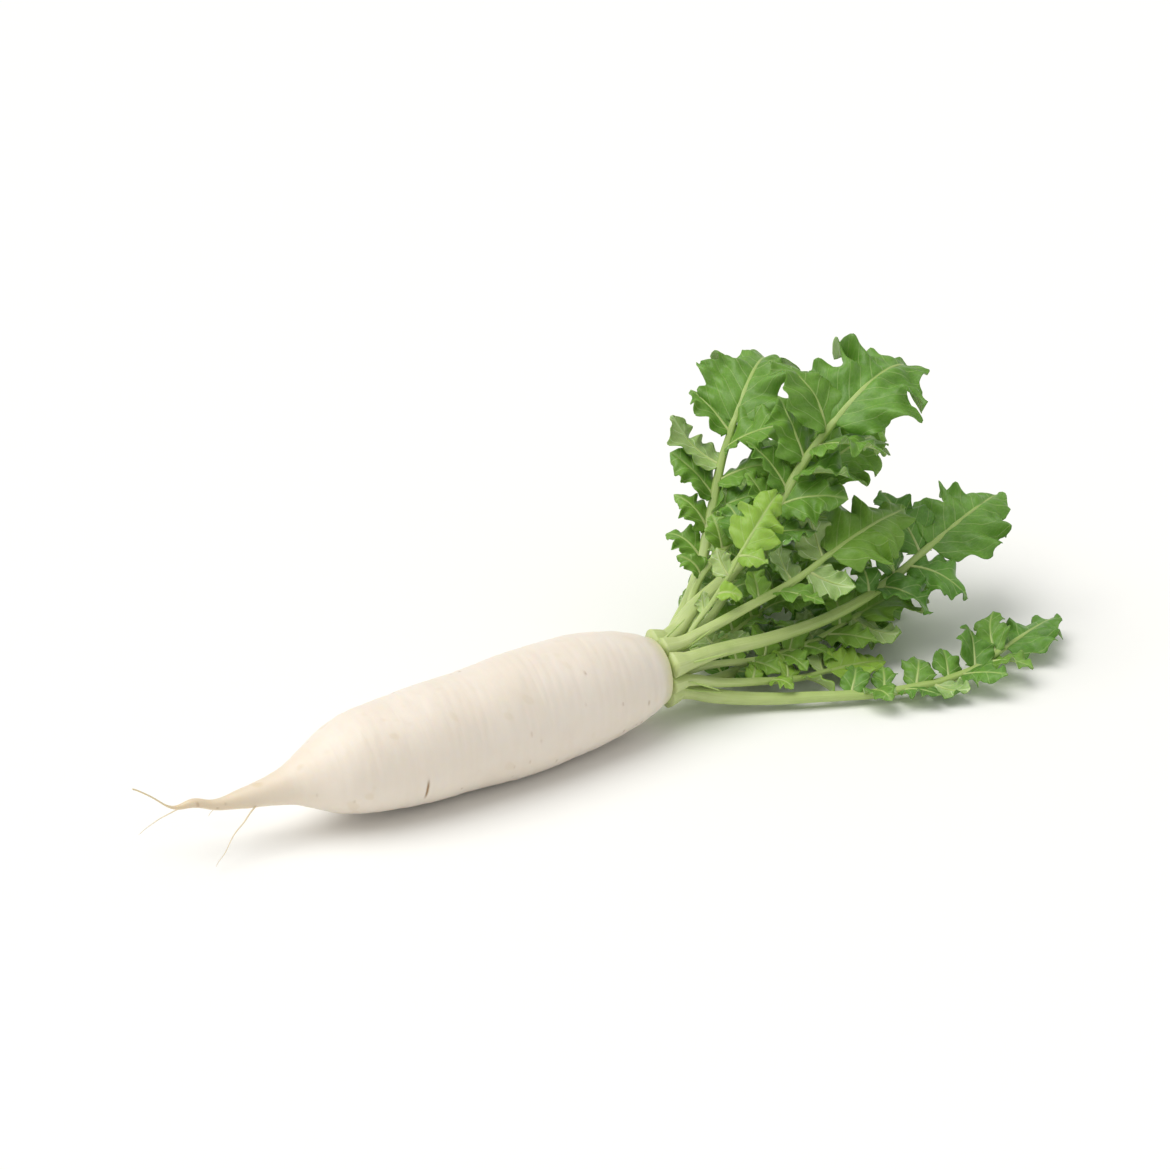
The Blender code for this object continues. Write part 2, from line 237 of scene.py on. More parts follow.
def buildStudio():
    scene = bpy.context.scene
    side, down = math.radians(studio["turn"]), math.radians(studio["drop"])
    look = Vector((math.sin(side) * math.cos(down), math.cos(side) * math.cos(down), -math.sin(down)))
    lens = bpy.data.cameras.new("camera")
    lens.lens = studio["lens"]
    camera = bpy.data.objects.new("camera", lens)
    low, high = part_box("crown")
    aim = (Vector(low) + Vector(high)) / 2 + Vector(studio["aimFromCrown"])
    camera.location = aim - look * studio["distance"]
    camera.rotation_euler = look.to_track_quat("-Z", "Y").to_euler()
    scene.collection.objects.link(camera)
    scene.camera = camera
    scene.view_settings.view_transform = "Standard"

    flat = bmesh.new()
    bmesh.ops.create_grid(flat, x_segments=1, y_segments=1, size=60)
    bmesh.ops.translate(flat, verts=flat.verts, vec=(0, 0, -0.05 * mm))
    mesh = bpy.data.meshes.new("floor")
    flat.to_mesh(mesh)
    flat.free()
    floor = bpy.data.objects.new("floor", mesh)
    scene.collection.objects.link(floor)
    paper = bpy.data.materials.new("matt white studio board")
    paper.use_nodes = True
    shader = paper.node_tree.nodes["Principled BSDF"]
    shader.inputs["Base Color"].default_value = linear(studio["floor"])
    shader.inputs["Roughness"].default_value = 0.9
    shader.inputs["Specular IOR Level"].default_value = 0.1
    mesh.materials.append(paper)

    world = bpy.data.worlds.new("soft box")
    world.use_nodes = True
    world.node_tree.nodes["Background"].inputs["Color"].default_value = linear("#ffffff")
    world.node_tree.nodes["Background"].inputs["Strength"].default_value = studio["sky"]
    scene.world = world
    lamp = bpy.data.lights.new("window light", "SUN")
    lamp.energy = studio["sun"]
    lamp.angle = math.radians(studio["sunWidth"])
    lamp.color = linear("#fffdf9")[:3]
    held = bpy.data.objects.new("window light", lamp)
    held.rotation_euler = Vector(studio["sunFrom"]).to_track_quat("Z", "Y").to_euler()
    scene.collection.objects.link(held)
    print("studio ready")


rootLook = {
    "rings": 460,
    "sides": 190,
    "stationGap": 3 * mm,
    "smoothing": 13,               # rings that each ring's middle and radius are averaged over
    "domeRings": 14,               # rings of the cap at the crown end
    "domeHeight": 2.2 * mm,
    "swell": 0.45 * mm,            # slow unevenness of the whole root
    "swellSize": 55 * mm,
    "grain": 0.09 * mm,            # fine unevenness, drawn out round the root
    "grainSize": 6 * mm,
    "creases": 70,
    "creaseReach": (0.35, 1.3),    # how far round, as an angle
    "creaseDepth": (0.03, 0.1),    # mm
    "creaseWidth": 0.8 * mm,
    "creaseWander": 1.2 * mm,
    "scars": 52,
    "scarRows": (3.4, 0.35),       # angles round the root
    "scarSpread": 0.7,
    "scarReach": (0.6, 1.9),       # half length in mm
    "scarStrength": (0.1, 0.6),
    "scarWidth": 0.55 * mm,
    "scarDepth": 0.28,             # mm at full strength
    "lipGap": 1.3 * mm,            # from a scar's middle to the raised lip beside it
    "lipWidth": 0.7 * mm,
    "lipHeight": 0.08,             # mm at full strength
    "crack": (0.47, 3.5, 6.5 * mm, 1.3),     # share from the tail, angle round, half length, strength
    "seed": 11,
    "skin": ("#e8dccb", "#f3ebe1"),
    "ring": "#d9c9ab",
    "ringShare": 0.07,
    "tan": "#d2bd93",
    "shoulder": "#cfd098",
    "scar": "#96703f",
    "roughness": (0.34, 0.52),
}


def rootSkin():
    # Fresh radish skin, washed and still moist: creamy white, faintly see-through, with a soft sheen
    material, tree, shader = newSkin("washed radish skin")
    spot = addNode(tree, "ShaderNodeTexCoord").outputs["Object"]
    marks = addNode(tree, "ShaderNodeAttribute", {"attribute_name": "marks"}).outputs["Vector"]
    split = addNode(tree, "ShaderNodeSeparateXYZ", links={0: marks}).outputs
    cloud = noiseAt(tree, spot, 32, 5, 0.6)
    # Slightly darker rings about 2.4 mm apart run round the root
    squash = addNode(tree, "ShaderNodeMapping", {"Scale": (420, 26, 26)}, {"Vector": spot})
    rings = noiseAt(tree, squash.outputs[0], 1, 3)
    ringShare = stretch(tree, rings, 0.5, 0.8, 0, rootLook["ringShare"])
    colour = mixColours(tree, cloud, *rootLook["skin"])
    colour = mixColours(tree, ringShare, colour, rootLook["ring"])
    colour = mixColours(tree, split["X"], colour, rootLook["tan"])
    colour = mixColours(tree, split["Y"], colour, rootLook["shoulder"])
    colour = mixColours(tree, split["Z"], colour, rootLook["scar"])
    tree.links.new(colour, shader.inputs["Base Color"])
    tree.links.new(stretch(tree, cloud, 0, 1, *rootLook["roughness"]), shader.inputs["Roughness"])
    fine = addNode(tree, "ShaderNodeBump", {"Strength": 0.35, "Distance": 0.05 * mm},
                   {"Height": noiseAt(tree, spot, 900, 3)})
    bump = addNode(tree, "ShaderNodeBump", {"Strength": 0.3, "Distance": 0.15 * mm},
                   {"Height": rings, "Normal": fine.outputs[0]})
    tree.links.new(bump.outputs[0], shader.inputs["Normal"])
    setShader(shader, {"IOR": 1.42, "Subsurface Weight": 0.35, "Subsurface Radius": (1.0, 0.72, 0.42),
                       "Subsurface Scale": 3.5 * mm})
    return material


def crossSections(node, gap):
    # Middle and radius of a node every so far along X, as rows of x, y, z, radius
    low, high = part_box(node)
    whole = bmesh.new()
    whole.from_mesh(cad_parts[node].data)
    bmesh.ops.remove_doubles(whole, verts=whole.verts, dist=0.01 * mm)
    rows = []
    for x in np.arange(low[0] + 0.3 * mm, high[0] - 0.05 * mm, gap):
        piece = whole.copy()
        cut = bmesh.ops.bisect_plane(piece, geom=piece.verts[:] + piece.edges[:] + piece.faces[:],
                                     plane_co=(x, 0, 0), plane_no=(1, 0, 0))["geom_cut"]
        ring = np.array([e.co for e in cut if isinstance(e, bmesh.types.BMVert)])
        piece.free()
        least, most = ring.min(axis=0), ring.max(axis=0)
        radius = (most[1] - least[1]) / 2
        height = (least[2] + most[2]) / 2 if least[2] > 0.5 * mm else most[2] - radius
        rows.append((x, (least[1] + most[1]) / 2, height, radius))
    whole.free()
    return np.array(rows)


def rootProfile(low, high):
    # Middle and radius of each ring, smoothed, with a low dome at the crown end
    stations = crossSections("taproot", rootLook["stationGap"])
    domeRings = rootLook["domeRings"]
    smoothing = rootLook["smoothing"]
    kernel = np.hanning(smoothing) / np.hanning(smoothing).sum()
    xs = np.linspace(low[0], high[0], rootLook["rings"] + 1 - domeRings)
    fields = []
    for column in (1, 2, 3):
        line = np.interp(xs, stations[:, 0], stations[:, column])
        padded = np.pad(line, smoothing // 2, mode="reflect", reflect_type="odd")
        fields.append(np.convolve(padded, kernel, mode="valid"))
    ys, zs, radii = fields
    dome = np.linspace(0, math.pi / 2, domeRings + 1)[1:]
    xs = np.concatenate([xs, high[0] + rootLook["domeHeight"] * np.sin(dome)])
    ys = np.concatenate([ys, np.full(domeRings, ys[-1])])
    zs = np.concatenate([zs, np.full(domeRings, zs[-1])])
    radii = np.concatenate([radii, radii[-1] * np.cos(dome)])
    radii[[0, -1]] = 0
    return xs, ys, zs, radii


def drawMarks(start, length):
    # Creases go part of the way round, closer together near the tail; scars are short and sit in two rows
    rng = np.random.default_rng(rootLook["seed"])
    count = rootLook["creases"]
    tailward = rng.beta(1.0, 2.2, count)
    creases = np.column_stack([start + length * (0.1 + 0.88 * tailward),
                               rng.uniform(0, turn, count),
                               rng.uniform(*rootLook["creaseReach"], count),
                               rng.uniform(*rootLook["creaseDepth"], count)])
    count = rootLook["scars"]
    rows = np.where(rng.random(count) < 0.5, *rootLook["scarRows"])
    scars = np.column_stack([start + length * rng.uniform(0.1, 0.95, count),
                             rows + rng.normal(0, rootLook["scarSpread"], count),
                             rng.uniform(*rootLook["scarReach"], count) * mm,
                             rng.uniform(*rootLook["scarStrength"], count)])
    share, *crack = rootLook["crack"]
    return creases, np.vstack([scars, [start + length * share] + crack])


def buildRoot():
    low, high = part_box("taproot")
    xs, ys, zs, radii = rootProfile(low, high)
    rings = rootLook["rings"]
    length = high[0] - low[0]
    creases, scars = drawMarks(low[0], length)
    marks = []

    def place(u, v):
        ring = np.rint(u * rings).astype(int)
        angle = v * turn
        x, size = xs[ring], radii[ring]
        even = np.column_stack([x, ys[ring] + size * np.cos(angle), zs[ring] + size * np.sin(angle)])
        thick = np.clip(size / (12 * mm), 0, 1)        # the marks fade out where the tail is thin
        push = rootLook["swell"] * softNoise(even, rootLook["swellSize"], 3) * thick
        push += rootLook["grain"] * softNoise(even * (1.0, 0.35, 0.35), rootLook["grainSize"], 4) * thick
        for crease, middle, reach, deep in creases:
            around = (angle - middle + math.pi) % turn - math.pi
            off = x - (crease + rootLook["creaseWander"] * np.sin(around * 2.1 + middle * 5))
            push -= deep * mm * thick * np.exp(-(off / rootLook["creaseWidth"]) ** 2 - (around / reach) ** 2)
        scarred = np.zeros(len(u))
        for spotX, middle, reach, strength in scars:
            around = ((angle - middle + math.pi) % turn - math.pi) * size
            off = np.abs(x - spotX)
            hit = np.exp(-(off / rootLook["scarWidth"]) ** 2 - (around / reach) ** 4)
            lip = np.exp(-((off - rootLook["lipGap"]) / rootLook["lipWidth"]) ** 2 - (around / reach) ** 4)
            push += (rootLook["lipHeight"] * lip - rootLook["scarDepth"] * hit) * strength * mm * thick
            scarred = np.maximum(scarred, hit * strength)
        size = np.maximum(size + push, 0)
        points = np.column_stack([x, ys[ring] + size * np.cos(angle), zs[ring] + size * np.sin(angle)])
        points[:, 2] = np.maximum(points[:, 2], 0)
        fromTail = (x - low[0]) / length
        tan = np.clip(1.2 - fromTail * 3.6, 0, 1) * 0.7
        patches = softNoise(even, 9 * mm, 12) * softNoise(even, 26 * mm, 13)
        tan += 0.4 * np.clip(patches - 0.8, 0, 0.6) * (1.2 - fromTail)
        green = np.clip((x - high[0] + 9 * mm) / (9 * mm), 0, 1) ** 1.6 * 0.8
        marks.append(np.column_stack([tan, green, scarred]))
        return points

    mesh = joinSheets("daikon_root", [gridSheet(rings, rootLook["sides"], place)], {"marks": marks}, True)
    addPiece("daikon_root", mesh, [rootSkin()], ["taproot"])
    print("root ready:", len(mesh.polygons), "faces")


crownLook = {
    "rings": 60,
    "sides": 160,
    "radius": 17.2 * mm,
    "height": 6.5 * mm,
    "ridgeGap": 1.5 * mm,
    "ridgeHeight": 0.5 * mm,
    "grain": 0.3 * mm,
    "sink": 4 * mm,                # how far the rim goes down inside the root
    "seed": 5,
    "colours": ("#b9c274", "#a3b05c", "#8f8f4a"),
}


def buildCrown(material):
    low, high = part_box("crown")
    middle = (np.array(low) + np.array(high)) / 2
    start = low[0] - 1.0 * mm
    notes = []

    def place(u, v):
        angle = v * turn
        reach = crownLook["radius"] * (1 - u) * (1 + 0.05 * np.sin(angle * 5 + 1) + 0.03 * np.sin(angle * 11))
        flat = np.column_stack([reach * np.cos(angle), reach * np.sin(angle), 0 * u])
        bend = 2.2 * softNoise(flat, 14 * mm, crownLook["seed"])
        ridge = np.abs(np.sin(reach / crownLook["ridgeGap"] + bend))
        rise = crownLook["height"] * (1 - (1 - u) ** 2.4)
        rise += crownLook["ridgeHeight"] * ridge * np.sin(math.pi * np.clip(u, 0, 1))
        x = start + rise + crownLook["grain"] * softNoise(flat, 4 * mm, 8)
        x = np.where(u > 0.999, start + crownLook["height"], x)
        notes.append(np.column_stack([rise, angle * 4 * mm, 0.15 * ridge]))
        return np.column_stack([x, middle[1] + reach * np.cos(angle), middle[2] + reach * np.sin(angle)])

    sheet = gridSheet(crownLook["rings"], crownLook["sides"], place)
    mesh = joinSheets("leaf_crown", [sheet], {"run": notes}, True)
    # The open rim goes down inside the root
    whole = bmesh.new()
    whole.from_mesh(mesh)
    rim = [e for e in whole.edges if e.is_boundary]
    grown = bmesh.ops.extrude_edge_only(whole, edges=rim)["geom"]
    verts = [e for e in grown if isinstance(e, bmesh.types.BMVert)]
    bmesh.ops.translate(whole, verts=verts, vec=(-crownLook["sink"], 0, 0))
    bmesh.ops.holes_fill(whole, edges=[e for e in whole.edges if e.is_boundary])
    bmesh.ops.recalc_face_normals(whole, faces=whole.faces)
    whole.to_mesh(mesh)
    whole.free()
    addPiece("leaf_crown", mesh, [material], ["crown"])
    print("crown ready")


leafLook = {
    "cell": 1.0 * mm,
    "thickness": 0.42 * mm,
    "lowest": 0.4 * mm,            # height that no point of a leaf goes below
    "veinGap": 10 * mm,
    "veinLean": 0.85,              # how far a side vein runs forward for each step outward
    "stalkSides": 28,
    "stalkRings": 210,
    "stalkGrowth": 1.12,           # of the frame's stalks
    "ribSides": 8,
    "ribRings": 22,
    "ribRadii": (1.0, 0.25),       # mm, of a side lobe's own midrib, first and last
    "lobeGap": 8.5 * mm,           # from one side lobe to the next, left and right in turn
    "lastLobe": 0.97,              # share of the stalk
    "lobeSize": (0.36, 0.6),       # of the end blade's length, first and last
    "lobeSpread": (0.8, 1.15),
    "lobeWidth": (0.68, 0.86),     # of the lobe's length
    "lobeBend": (0.4, 1.5),
    "turnedOver": 0.25,            # share of the lobes that show their undersides
    # Share of each stalk that has no lobes, and how fresh a green each leaf is, from leaf_1 to leaf_13
    "bare": [0.5, 0.74, 0.56, 0.5, 0.48, 0.34, 0.3, 0.38, 0.5, 0.34, 0.42, 0.5, 0.34],
    "tones": [0.1, 0.0, 0.3, 0.12, 0.25, 0.05, 0.1, 0.2, 0.75, 0.4, 0.35, 0.8, 0.45],
    "stalkColours": ("#c2d08c", "#a5be68", "#8fac50"),
    "fibre": "#dfe6b4",
    "upper": {"dark": "#47781f", "mid": "#6a9c3c", "fresh": "#97bc46", "vein": "#b6d184",
              "veinShare": 0.36, "roughness": 0.42, "depth": 0.2 * mm},
    "under": {"dark": "#7fa556", "mid": "#a0bc7a", "fresh": "#b6cd80", "vein": "#d5e5b2",
              "veinShare": 0.6, "roughness": 0.55, "depth": -0.25 * mm},
}
endShape = {
    "lobes": 3.2, "notch": 0.44, "teeth": 8 * mm, "toothDepth": 2.6 * mm, "ruffle": 0.17, "waves": 3.0,
    "fold": 12, "forward": 0.22, "peak": 0.62, "base": 0.3, "crumple": 0.075,
}
sideShape = {
    "lobes": 1.8, "notch": 0.34, "teeth": 7 * mm, "toothDepth": 2.2 * mm, "ruffle": 0.2, "waves": 2.1,
    "fold": 10, "forward": 0.2, "peak": 0.72, "base": 0.5, "crumple": 0.09,
}


def stalkSkin(name, pale, green, dark):
    # Juicy leaf stalk: pale green with fine lengthwise fibres and a waxy sheen
    material, tree, shader = newSkin(name)
    run = addNode(tree, "ShaderNodeAttribute", {"attribute_name": "run"}).outputs["Vector"]
    share = addNode(tree, "ShaderNodeSeparateXYZ", links={0: run}).outputs["Z"]
    spot = addNode(tree, "ShaderNodeTexCoord").outputs["Object"]
    # Fibres about 0.7 mm apart
    thread = addNode(tree, "ShaderNodeMapping", {"Scale": (35, 1500, 0)}, {"Vector": run})
    fibres = noiseAt(tree, thread.outputs[0], 1, 2)
    colour = mixColours(tree, stretch(tree, share, 0, 0.55, 0, 1), pale, green)
    clouded = stretch(tree, noiseAt(tree, spot, 60, 3), 0.5, 0.8, 0, 0.5)
    colour = mixColours(tree, clouded, colour, dark)
    streaked = stretch(tree, fibres, 0.5, 0.75, 0, 0.4)
    colour = mixColours(tree, streaked, colour, leafLook["fibre"])
    tree.links.new(colour, shader.inputs["Base Color"])
    bump = addNode(tree, "ShaderNodeBump", {"Strength": 0.5, "Distance": 0.12 * mm}, {"Height": fibres})
    tree.links.new(bump.outputs[0], shader.inputs["Normal"])
    setShader(shader, {"Roughness": 0.4, "Subsurface Weight": 0.25, "Subsurface Radius": (0.8, 1.0, 0.3),
                       "Subsurface Scale": 1.5 * mm})
    return material


def leafSkin(name, look):
    # Living leaf: green between a net of paler veins
    material, tree, shader = newSkin(name)
    spot = addNode(tree, "ShaderNodeTexCoord").outputs["Object"]
    rib = addNode(tree, "ShaderNodeAttribute", {"attribute_name": "rib"}).outputs["Vector"]
    tone = addNode(tree, "ShaderNodeAttribute", {"attribute_name": "tone"}).outputs["Fac"]
    part = addNode(tree, "ShaderNodeSeparateXYZ", links={0: rib}).outputs
    # Side veins lie where the first number is whole; the second is the distance from the midrib in mm
    away = calculate(tree, "ABSOLUTE", part["Y"])
    width = stretch(tree, away, 0, 26, 0.07, 0.025)
    side = calculate(tree, "DIVIDE", calculate(tree, "PINGPONG", part["X"], 0.5), width)
    sideLine = stretch(tree, side, 0.35, 1.0, 1, 0, smooth=True)
    middle = stretch(tree, away, 0.3, 1.5, 1, 0, smooth=True)
    # The fine net has meshes 2.5 to 3 mm across
    flat = addNode(tree, "ShaderNodeMapping", {"Scale": (3.4, 0.4, 0)}, {"Vector": rib})
    net = addNode(tree, "ShaderNodeTexVoronoi", {"feature": "DISTANCE_TO_EDGE", "Scale": 1.0},
                  {"Vector": flat.outputs[0]})
    netLine = stretch(tree, net.outputs["Distance"], 0, 0.14, 0.22, 0, smooth=True)
    veins = calculate(tree, "MAXIMUM", calculate(tree, "MAXIMUM", sideLine, middle), netLine)
    cloud = stretch(tree, noiseAt(tree, spot, 55, 4, 0.6), 0.3, 0.7, 0, 1)
    colour = mixColours(tree, cloud, look["dark"], look["mid"])
    colour = mixColours(tree, tone, colour, look["fresh"])
    colour = mixColours(tree, calculate(tree, "MULTIPLY", veins, look["veinShare"]), colour, look["vein"])
    tree.links.new(colour, shader.inputs["Base Color"])
    bump = addNode(tree, "ShaderNodeBump", {"Strength": 0.7, "Distance": look["depth"]}, {"Height": veins})
    tree.links.new(bump.outputs[0], shader.inputs["Normal"])
    setShader(shader, {"Roughness": look["roughness"], "IOR": 1.42, "Subsurface Weight": 0.3,
                       "Subsurface Radius": (0.6, 1.0, 0.15), "Subsurface Scale": 0.6 * mm})
    return material


def ringsOf(node):
    # Centres and radii of a tube node's rings, from the crown outwards
    tube = bmesh.new()
    tube.from_mesh(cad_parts[node].data)
    bmesh.ops.remove_doubles(tube, verts=tube.verts, dist=0.02 * mm)
    nearest = min(v.co.x for v in tube.verts)
    layer = [v for v in tube.verts if v.co.x < nearest + 0.1 * mm]
    seen = set(layer)
    centres, radii = [], []
    while layer:
        spots = np.array([v.co for v in layer])
        centres.append(spots.mean(axis=0))
        radii.append(np.linalg.norm(spots - centres[-1], axis=1).mean())
        after = {e.other_vert(v) for v in layer for e in v.link_edges} - seen
        seen |= after
        layer = sorted(after, key=lambda v: v.index)
    tube.free()
    return np.array(centres), np.array(radii)


def measureBlade(node, stalk):
    # Where an end blade starts, which way it runs and faces, its length, width and bend
    sheet = bmesh.new()
    sheet.from_mesh(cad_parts[node].data)
    bmesh.ops.remove_doubles(sheet, verts=sheet.verts, dist=0.02 * mm)
    spots = np.array([v.co for v in sheet.verts])
    sheet.free()
    away = np.linalg.norm(spots - stalk[-1], axis=1)
    base = spots[np.argsort(away)[:2]].mean(axis=0)
    away = np.linalg.norm(spots - base, axis=1)
    tip = spots[away > 0.985 * away.max()].mean(axis=0)
    chord = np.linalg.norm(tip - base)
    along = (tip - base) / chord
    lean = spots.mean(axis=0) - base
    up = unit(lean - along * (lean @ along))
    side = np.cross(up, along)
    across = (spots - base) @ side
    rise = ((spots - base) @ up)[np.abs(across) < 0.08 * np.ptp(across)].max()
    bend = max(4 * math.atan(2 * rise / chord), 0.05)
    return {"base": base, "along": along, "up": up, "side": side, "bend": bend, "sway": 0.06,
            "length": chord * (bend / 2) / math.sin(bend / 2), "width": np.ptp(across)}


def midrib(blade, share):
    # Point, direction and upward normal at a share of the blade's length
    bend, length = blade["bend"], blade["length"]
    slope = bend / 2 - bend * share
    run = length / bend * (math.sin(bend / 2) - np.sin(slope))
    rise = length / bend * (np.cos(slope) - math.cos(bend / 2))
    point = blade["base"] + np.outer(run, blade["along"]) + np.outer(rise, blade["up"])
    point += np.outer(blade["sway"] * length * np.asarray(share) ** 2, blade["side"])
    way = np.outer(np.cos(slope), blade["along"]) + np.outer(np.sin(slope), blade["up"])
    normal = np.outer(-np.sin(slope), blade["along"]) + np.outer(np.cos(slope), blade["up"])
    return point, way, normal


def bladeSheet(blade, shape, seed):
    # A lobed, toothed and ruffled sheet, and the vein coordinates of its points
    rng = np.random.default_rng(seed)
    starts = rng.uniform(0, 1, 12)
    fold = math.radians(shape["fold"] + rng.uniform(-14, 14))
    twist = rng.normal(0, 0.38)
    length, half = blade["length"], blade["width"] / 2
    columns = max(int(length / leafLook["cell"]), 12)
    rows = 2 * max(int(half / leafLook["cell"]), 5)
    notes = []

    def place(u, v):
        across = 2 * v - 1
        out = np.abs(across)
        left = across < 0

        def pick(i):
            return np.where(left, starts[i], starts[i + 1])

        body = np.sin(math.pi * np.clip(u, 0, 1) ** shape["peak"]) ** 0.62
        body = np.maximum(body, shape["base"] * (1 - u) ** 3)
        lobe = np.abs(np.cos(math.pi * (shape["lobes"] * u ** 0.9 + pick(0)))) ** 5
        edge = body * (1 - shape["notch"] * lobe * np.sin(math.pi * u) ** 0.5 * (0.7 + 0.6 * pick(2)))
        tooth = (u * length / shape["teeth"] + pick(4)) % 1
        tooth = np.where(tooth < 0.78, tooth / 0.78, (1 - tooth) / 0.22)
        second = (u * length / shape["teeth"] * 1.83 + pick(6)) % 1
        jag = (0.75 * tooth + 0.25 * second - 0.5) * np.sin(math.pi * u) ** 0.4
        edge = edge * half + shape["toothDepth"] * jag * out ** 3
        y = across * np.maximum(edge, 0.5 * mm)
        width = np.abs(y)
        phase = turn * (shape["waves"] * u + pick(8))
        wave = np.sin(phase + 1.4 * np.sin(phase * 0.53)) + 0.55 * np.sin(phase * 2.3 + 9 * pick(10))
        fade = np.sin(math.pi * np.clip(u * 0.97 + 0.02, 0, 1)) ** 0.35
        sheet = np.column_stack([u * length, y, 0 * u])
        lift = shape["ruffle"] * half * out ** 1.7 * wave * fade
        lift += shape["crumple"] * half * softNoise(sheet, 16 * mm, seed + 1) * fade * out ** 0.5
        lift += math.tan(fold) * width - 0.16 * width * out ** 2
        lean = leafLook["veinLean"] * width + 6 * width ** 2
        rib = (u * length - lean) / leafLook["veinGap"] + starts[0]
        gap = np.abs((rib + 0.5) % 1 - 0.5) * 2
        lift += 0.55 * mm * (gap ** 0.6 - 0.6) * np.clip(width / (5 * mm), 0, 1) * fade
        lift -= 0.5 * mm * np.exp(-(width / (1.6 * mm)) ** 2)
        point, way, normal = midrib(blade, u)
        forward = shape["forward"] * width * (1 - u) + 0.12 * half * out ** 2 * np.sin(phase * 0.5 + 3) * fade
        notes.append(np.column_stack([rib, y / mm, u * length / mm]))
        side = np.cos(twist * u)[:, None] * blade["side"] + np.sin(twist * u)[:, None] * normal
        face = np.cos(twist * u)[:, None] * normal - np.sin(twist * u)[:, None] * blade["side"]
        points = point + forward[:, None] * way + y[:, None] * side + lift[:, None] * face
        points[:, 2] = np.maximum(points[:, 2], leafLook["lowest"])
        return points

    return gridSheet(columns, rows, place), notes[0]


def lobeBeside(path, share, side, up, size, rng):
    # A side lobe that grows from the midrib, outward, forward and a little up, each one a bit different
    spot = int(share * (len(path) - 1))
    way = unit(path[min(spot + 1, len(path) - 1)] - path[max(spot - 1, 0)])
    across = unit(np.cross(up, way)) * side
    along = unit(across + rng.uniform(0.25, 0.7) * way + rng.uniform(-0.05, 0.5) * up)
    face = unit(up + rng.uniform(-0.35, 0.35) * way - along * (up @ along))
    face = unit(face - along * (face @ along))
    if rng.random() < leafLook["turnedOver"]:
        face = -face
    return {"base": path[spot], "along": along, "up": face, "side": np.cross(face, along), "length": size,
            "sway": rng.normal(0, 0.12), "bend": rng.uniform(*leafLook["lobeBend"]),
            "width": rng.uniform(*leafLook["lobeWidth"]) * size}


def stalkSection(angle, run, share):
    # Grooved above, faintly ribbed all round, and wide where it clasps the crown
    groove = 1 - 0.2 * np.exp(-((angle + math.pi) % turn - math.pi) ** 2 / 0.3)
    ribs = 1 + 0.018 * np.cos(9 * angle)
    clasp = 1 + 0.38 * np.exp(-run / (9 * mm)) * (1 + 0.3 * np.cos(2 * angle))
    return groove * ribs * clasp


def buildLeaf(number, materials):
    name = f"leaf_{number}_"
    blades = sorted(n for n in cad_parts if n.startswith(name) and not n.endswith("stalk"))
    centres, radii = ringsOf(name + "stalk")
    stalk, reach = resample(centres, 120)
    end = measureBlade(name + "blade", stalk)
    rng = np.random.default_rng(100 + number)

    # The stalk starts inside the crown and runs on as the blade's midrib
    shares = np.linspace(0.04, 0.94, 16)
    point, _, normal = midrib(end, shares)
    ribRadii = np.interp(shares, [0, 1], [radii[-1], 0.3 * mm])
    under = point - normal * (0.55 * ribRadii + 0.2 * mm)[:, None]
    inside = centres[0] - unit(centres[1] - centres[0]) * 5 * mm
    path = np.vstack([inside, centres, under])
    sizes = np.concatenate([[radii[0]], radii, ribRadii]) * leafLook["stalkGrowth"]
    rings = leafLook["stalkRings"]
    fine, _ = resample(path, rings)
    raw = np.concatenate([[0], np.cumsum(np.linalg.norm(np.diff(path, axis=0), axis=1))])
    fineRadii = np.interp(np.linspace(0, raw[-1], rings), raw, sizes)
    tubes = [sweptTube(fine, fineRadii, leafLook["stalkSides"], normal[-1], stalkSection)]

    # Side lobes left and right in turn, from the bare part of the stalk to the end blade
    sheets = [bladeSheet(end, endShape, 1000 * number)]
    first, last = leafLook["lobeSize"]
    bare, lastLobe = leafLook["bare"][number - 1], leafLook["lastLobe"]
    count = int(reach * (lastLobe - bare) / leafLook["lobeGap"])
    ribRings = leafLook["ribRings"]
    thinning = np.linspace(*leafLook["ribRadii"], ribRings) * mm
    for i, share in enumerate(np.linspace(bare, lastLobe, count)):
        size = end["length"] * (first + (last - first) * i / count) * rng.uniform(*leafLook["lobeSpread"])
        lobe = lobeBeside(stalk, share, (-1) ** i, end["up"], size, rng)
        sheets.append(bladeSheet(lobe, sideShape, 1000 * number + 10 * i + 1))
        point, _, normal = midrib(lobe, np.linspace(0.0, 0.9, 10))
        thin, _ = resample(np.vstack([lobe["base"], point[1:] - normal[1:] * 0.45 * mm]), ribRings)
        tubes.append(sweptTube(thin, thinning, leafLook["ribSides"], normal[-1]))
    mesh = joinSheets(f"petiole_{number}", [t[0] for t in tubes], {"run": [t[1] for t in tubes]}, True)
    addPiece(f"petiole_{number}", mesh, [materials["stalk"]], [name + "stalk"])

    tone = leafLook["tones"][number - 1]
    tones = [np.full(len(s[1]), tone + rng.uniform(-0.1, 0.2)) for s in sheets]
    notes = {"rib": [s[1] for s in sheets], "tone": tones}
    mesh = joinSheets(f"foliage_{number}", [s[0] for s in sheets], notes, False)
    faces = [materials["upper"], materials["under"]]
    piece = addPiece(f"foliage_{number}", mesh, faces, blades)
    skin = piece.modifiers.new("thickness", "SOLIDIFY")
    skin.thickness = leafLook["thickness"]
    skin.offset = 0
    skin.material_offset = 1
    return len(mesh.polygons)


threadLook = {
    "count": 11,
    "rings": 30,
    "sides": 10,
    "length": (14 * mm, 34 * mm),
    "radius": 0.9 * mm,
    "fromMiddle": (9, 15),         # mm
    "lean": (0.2, 0.75),
    "lowest": 2 * mm,
    "seed": 17,
}


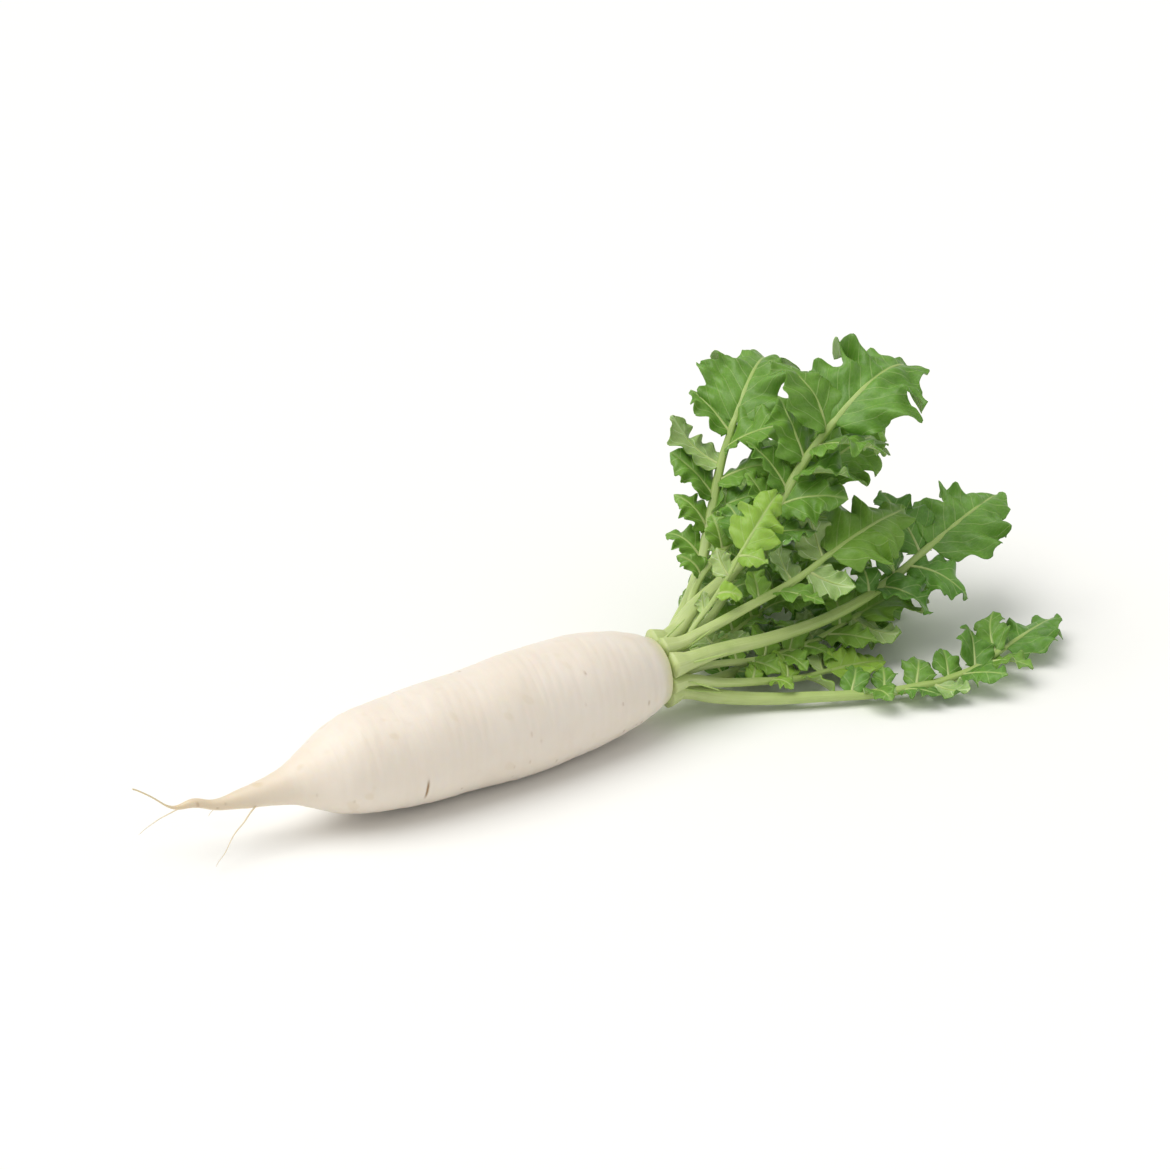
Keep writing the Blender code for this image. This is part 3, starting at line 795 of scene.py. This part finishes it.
def buildThreads(material):
    # Young leaf stalks and old stubs, thin as thread, that stand between the big stalks on the crown
    low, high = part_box("crown")
    middle = (np.array(low) + np.array(high)) / 2
    rng = np.random.default_rng(threadLook["seed"])
    count, rings = threadLook["count"], threadLook["rings"]
    radii = np.linspace(1, 0.3, rings) * threadLook["radius"]
    steps = np.linspace(0, 1, 5)[:, None]
    tubes = []
    for angle in np.linspace(0, turn, count, endpoint=False) + rng.uniform(0, 0.5):
        out = np.array([0, math.cos(angle), math.sin(angle)])
        length = rng.uniform(*threadLook["length"])
        start = middle + out * rng.uniform(*threadLook["fromMiddle"]) * mm
        lean = rng.uniform(*threadLook["lean"])
        bend = np.array([0.3, rng.normal(0, 0.35), rng.normal(0.1, 0.35)])
        points = start + steps * length * (np.array([1, 0, 0]) + lean * out)
        points = points + steps ** 2 * length * 0.5 * bend
        points[:, 2] = np.maximum(points[:, 2], threadLook["lowest"])
        path, _ = resample(points, rings)
        tubes.append(sweptTube(path, radii, threadLook["sides"], np.array([0, 0, 1.0])))
    notes = {"run": [t[1] for t in tubes]}
    mesh = joinSheets("crown_threads", [t[0] for t in tubes], notes, True)
    addPiece("crown_threads", mesh, [material], [])
    print("crown threads ready")


hairLook = {
    "nodes": ("rootlet_1", "rootlet_2", "rootlet_3"),
    "rings": 40,
    "sides": 8,
    "radii": (0.5, 0.16),          # mm, first and last
    "bow": (0, 2, 3),              # mm, outward and upward at the middle
    "lift": 0.6 * mm,              # of the end above the node's lowest point
    "wobble": 0.8 * mm,
    "wobbleSize": 14 * mm,
    "marks": [0.5, 0, 0.1],        # tan, green and scarred shares of the root's skin
}


def buildHairs(material):
    # Fine side roots, each from the side of the root to the far end of its node
    tail = crossSections("taproot", 6 * mm)
    rings = hairLook["rings"]
    radii = np.linspace(*hairLook["radii"], rings) * mm
    tubes = []
    for node in hairLook["nodes"]:
        low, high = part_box(node)
        body = tail[np.argmin(np.abs(tail[:, 0] - high[0]))]
        sideways = 1 if (low[1] + high[1]) / 2 > body[1] else -1
        begin = np.array([high[0], body[1] + sideways * 0.5 * body[3], high[2]])
        end = np.array([low[0], high[1] if sideways > 0 else low[1], low[2] + hairLook["lift"]])
        middle = (begin + end) / 2 + np.array(hairLook["bow"]) * (1, sideways, 1) * mm
        path, _ = resample([begin, middle, end], rings)
        wander = [softNoise(path, hairLook["wobbleSize"], 30 + i) for i in range(3)]
        path = path + np.column_stack(wander) * hairLook["wobble"] * np.linspace(0, 1, rings)[:, None]
        tubes.append(sweptTube(path, radii, hairLook["sides"], np.array([0, 0, 1.0])))
    notes = {"marks": [np.tile(hairLook["marks"], (len(t[1]), 1)) for t in tubes]}
    mesh = joinSheets("root_hairs", [t[0] for t in tubes], notes, True)
    addPiece("root_hairs", mesh, [material], ["rootlet_1", "rootlet_2", "rootlet_3"])
    print("root hairs ready")


def main():
    buildStudio()
    buildRoot()
    materials = {
        "stalk": stalkSkin("juicy leaf stalk", *leafLook["stalkColours"]),
        "upper": leafSkin("leaf upper face", leafLook["upper"]),
        "under": leafSkin("leaf underside", leafLook["under"]),
    }
    buildCrown(stalkSkin("leaf crown tissue", *crownLook["colours"]))
    buildThreads(materials["stalk"])
    faces = sum(buildLeaf(number, materials) for number in range(1, len(leafLook["tones"]) + 1))
    print("leaves ready:", faces, "sheet faces")
    buildHairs(bpy.data.materials["washed radish skin"])


main()
